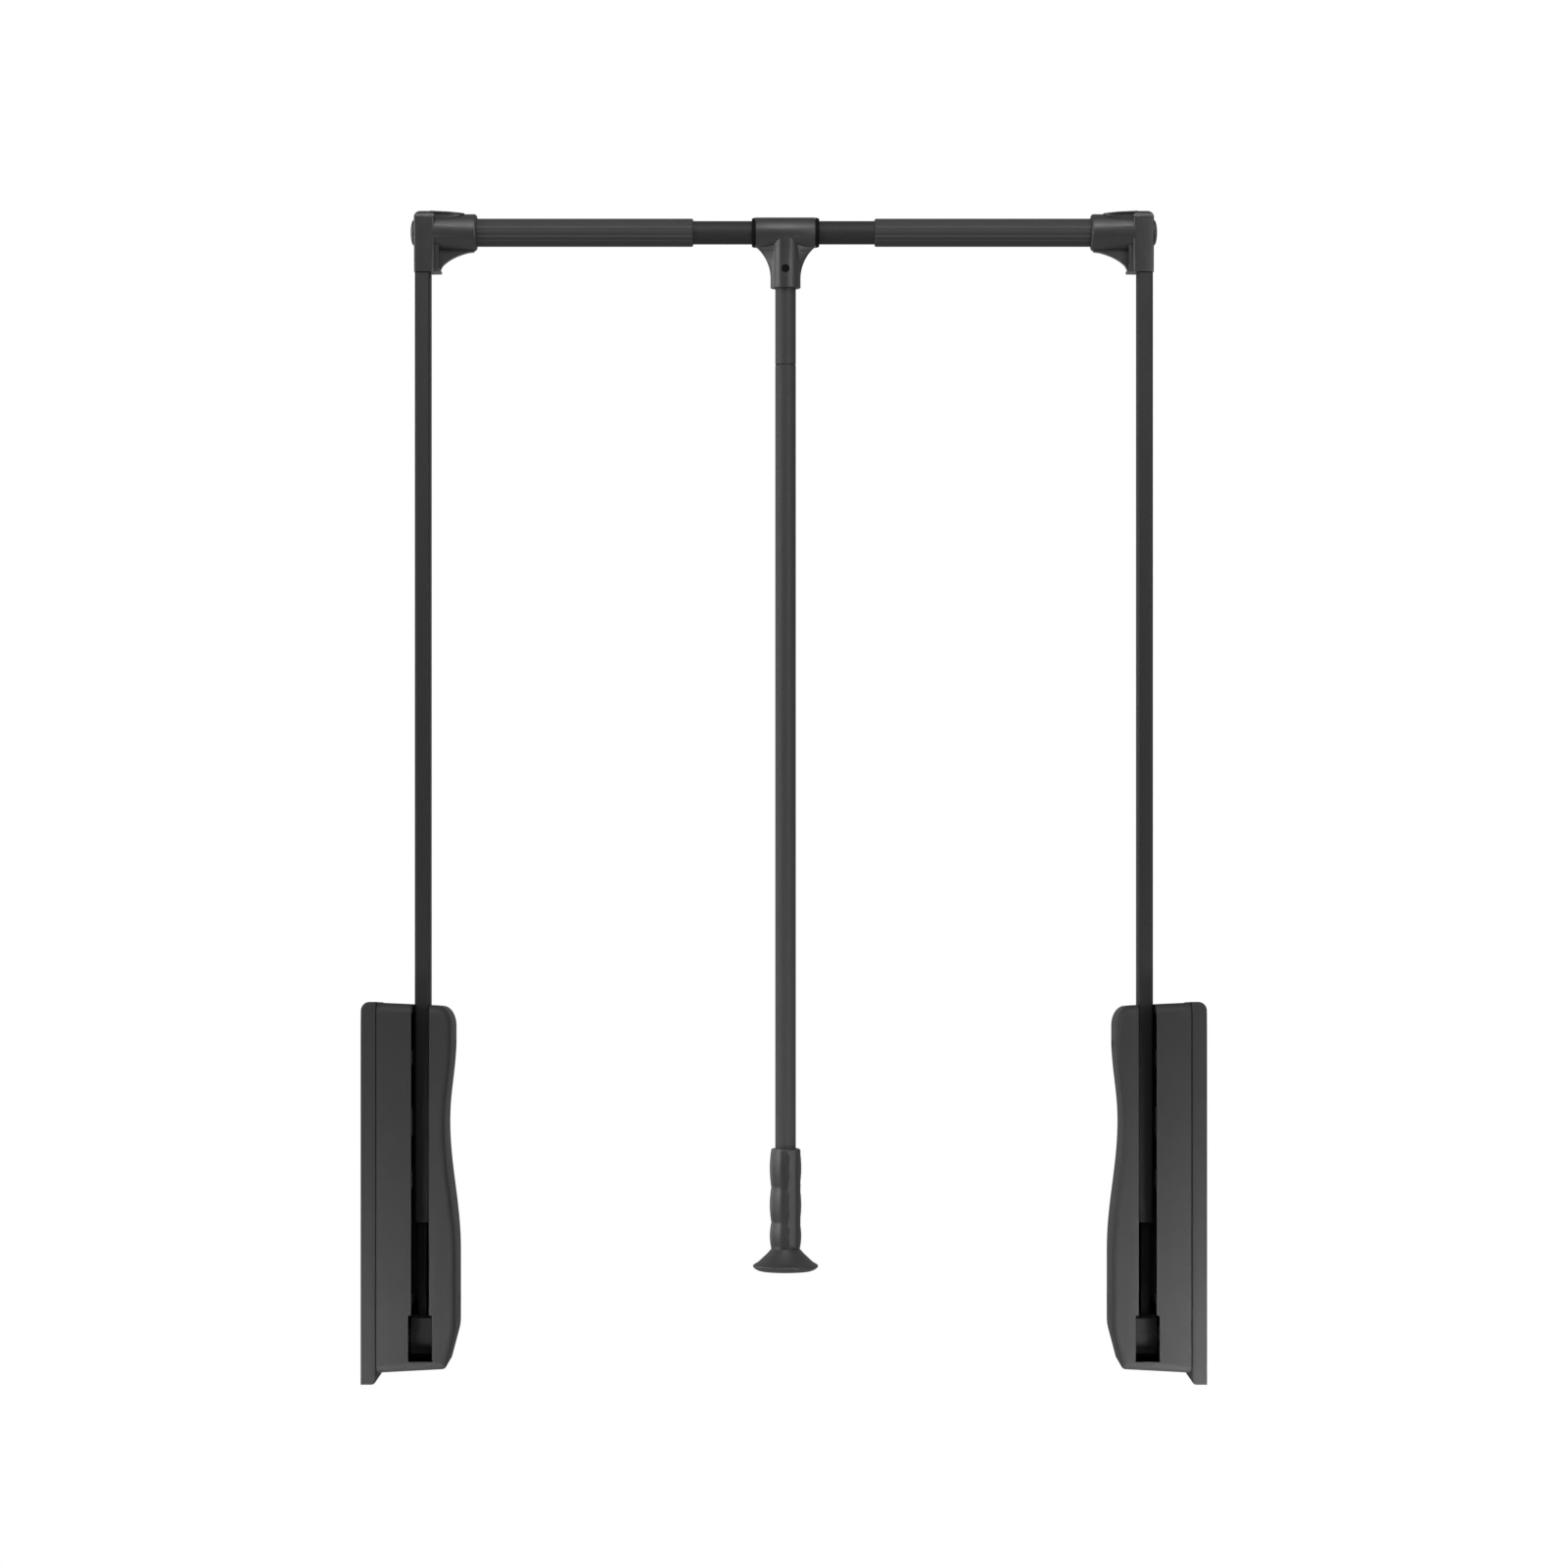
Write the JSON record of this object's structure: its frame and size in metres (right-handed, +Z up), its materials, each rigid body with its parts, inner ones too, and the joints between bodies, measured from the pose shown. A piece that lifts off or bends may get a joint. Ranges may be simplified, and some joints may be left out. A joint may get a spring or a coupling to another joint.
{
  "type": "pull-down wardrobe rail",
  "caption": "Dark pull-down wardrobe rail: sprung side units carry swing arms, a telescopic hanging rail between them and a pull rod with a grip.",
  "frame": {"origin": "left side unit's wall face, where the swing axis meets it", "axes": "+X across the wardrobe from the left wall face to the right one, +Y into the wardrobe, +Z up"},
  "size_m": [0.6, 0.066, 0.835],
  "materials": {
    "moulded_plastic": "fine satin grain",
    "black_plastic": "matte",
    "coated_metal": "satin powder coat",
    "plated_steel": "zinc plated",
    "nylon": "natural",
    "rubber": "matte"
  },
  "bodies": {
    "left_side_unit": {"left_wall_plate": "moulded_plastic", "left_side_cover": "moulded_plastic", "left_cover_screw_low": "plated_steel", "left_cover_screw_high": "plated_steel", "left_pivot_pin": "plated_steel", "left_strut_cylinder": "coated_metal", "left_strut_spring": "plated_steel", "left_anchor_pin": "plated_steel", "left_arm_bumper": "rubber"},
    "left_arm": {"left_swing_hub": "black_plastic", "left_pivot_bush_room": "nylon", "left_pivot_bush_wall": "nylon", "left_crank_pin": "plated_steel", "left_arm_tube": "coated_metal", "left_arm_rivet": "plated_steel", "left_elbow": "moulded_plastic", "left_elbow_bolt": "plated_steel", "left_elbow_cap": "moulded_plastic", "left_rail_plug": "moulded_plastic", "left_rail_outer_tube": "coated_metal"},
    "left_strut": {"left_strut_rod": "plated_steel"},
    "right_side_unit": {"right_wall_plate": "moulded_plastic", "right_side_cover": "moulded_plastic", "right_cover_screw_low": "plated_steel", "right_cover_screw_high": "plated_steel", "right_pivot_pin": "plated_steel", "right_strut_cylinder": "coated_metal", "right_strut_spring": "plated_steel", "right_anchor_pin": "plated_steel", "right_arm_bumper": "rubber"},
    "right_arm": {"right_swing_hub": "black_plastic", "right_pivot_bush_room": "nylon", "right_pivot_bush_wall": "nylon", "right_crank_pin": "plated_steel", "right_arm_tube": "coated_metal", "right_arm_rivet": "plated_steel", "right_elbow": "moulded_plastic", "right_elbow_bolt": "plated_steel", "right_elbow_cap": "moulded_plastic", "right_rail_plug": "moulded_plastic", "right_rail_outer_tube": "coated_metal"},
    "right_strut": {"right_strut_rod": "plated_steel"},
    "inner_rail": {"rail_inner_tube": "coated_metal", "tee_collar_left": "black_plastic", "tee_collar_right": "black_plastic"},
    "pull_rod": {"pull_tee": "moulded_plastic", "rod_screw": "black_plastic", "pull_rod_upper": "coated_metal", "rod_joiner": "moulded_plastic", "pull_rod_lower": "coated_metal", "handle_grip": "moulded_plastic"}
  },
  "joints": [
    {"name": "lift_swing", "type": "hinge", "parent": "left_side_unit", "child": "left_arm", "pos_m": [0.042, 0, 0], "axis": [1, 0, 0], "range_deg": [0, 95], "stiffness_Nm_per_rad": 6, "springref_deg": -28.65},
    {"name": "rail_left_slide", "type": "slide", "parent": "left_arm", "child": "inner_rail", "axis": [1, 0, 0], "range_m": [0, 0.115]},
    {"name": "rail_right_slide", "type": "slide", "parent": "inner_rail", "child": "right_arm", "axis": [1, 0, 0], "range_m": [0, 0.115]},
    {"name": "pull_rod_swing", "type": "hinge", "parent": "inner_rail", "child": "pull_rod", "pos_m": [0.3012, 0, 0.79], "axis": [1, 0, 0], "continuous": true},
    {"name": "right_swing", "type": "hinge", "parent": "right_arm", "child": "right_side_unit", "pos_m": [0.558, 0, 0], "axis": [1, 0, 0], "range_deg": [-95, 0]},
    {"name": "left_strut_lift", "type": "slide", "parent": "left_side_unit", "child": "left_strut", "axis": [0, 0, 1], "range_m": [0, 0.0178], "deforming": ["left_strut_spring"]},
    {"name": "right_strut_lift", "type": "slide", "parent": "right_side_unit", "child": "right_strut", "axis": [0, 0, 1], "range_m": [0, 0.0178], "deforming": ["right_strut_spring"]}
  ],
  "couplings": [
    {"joint": "right_swing", "follows": "lift_swing", "ratio": -1},
    {"joint": "left_strut_lift", "follows": "lift_swing", "m_per_rad": 0.010662},
    {"joint": "right_strut_lift", "follows": "lift_swing", "m_per_rad": 0.010662}
  ]
}
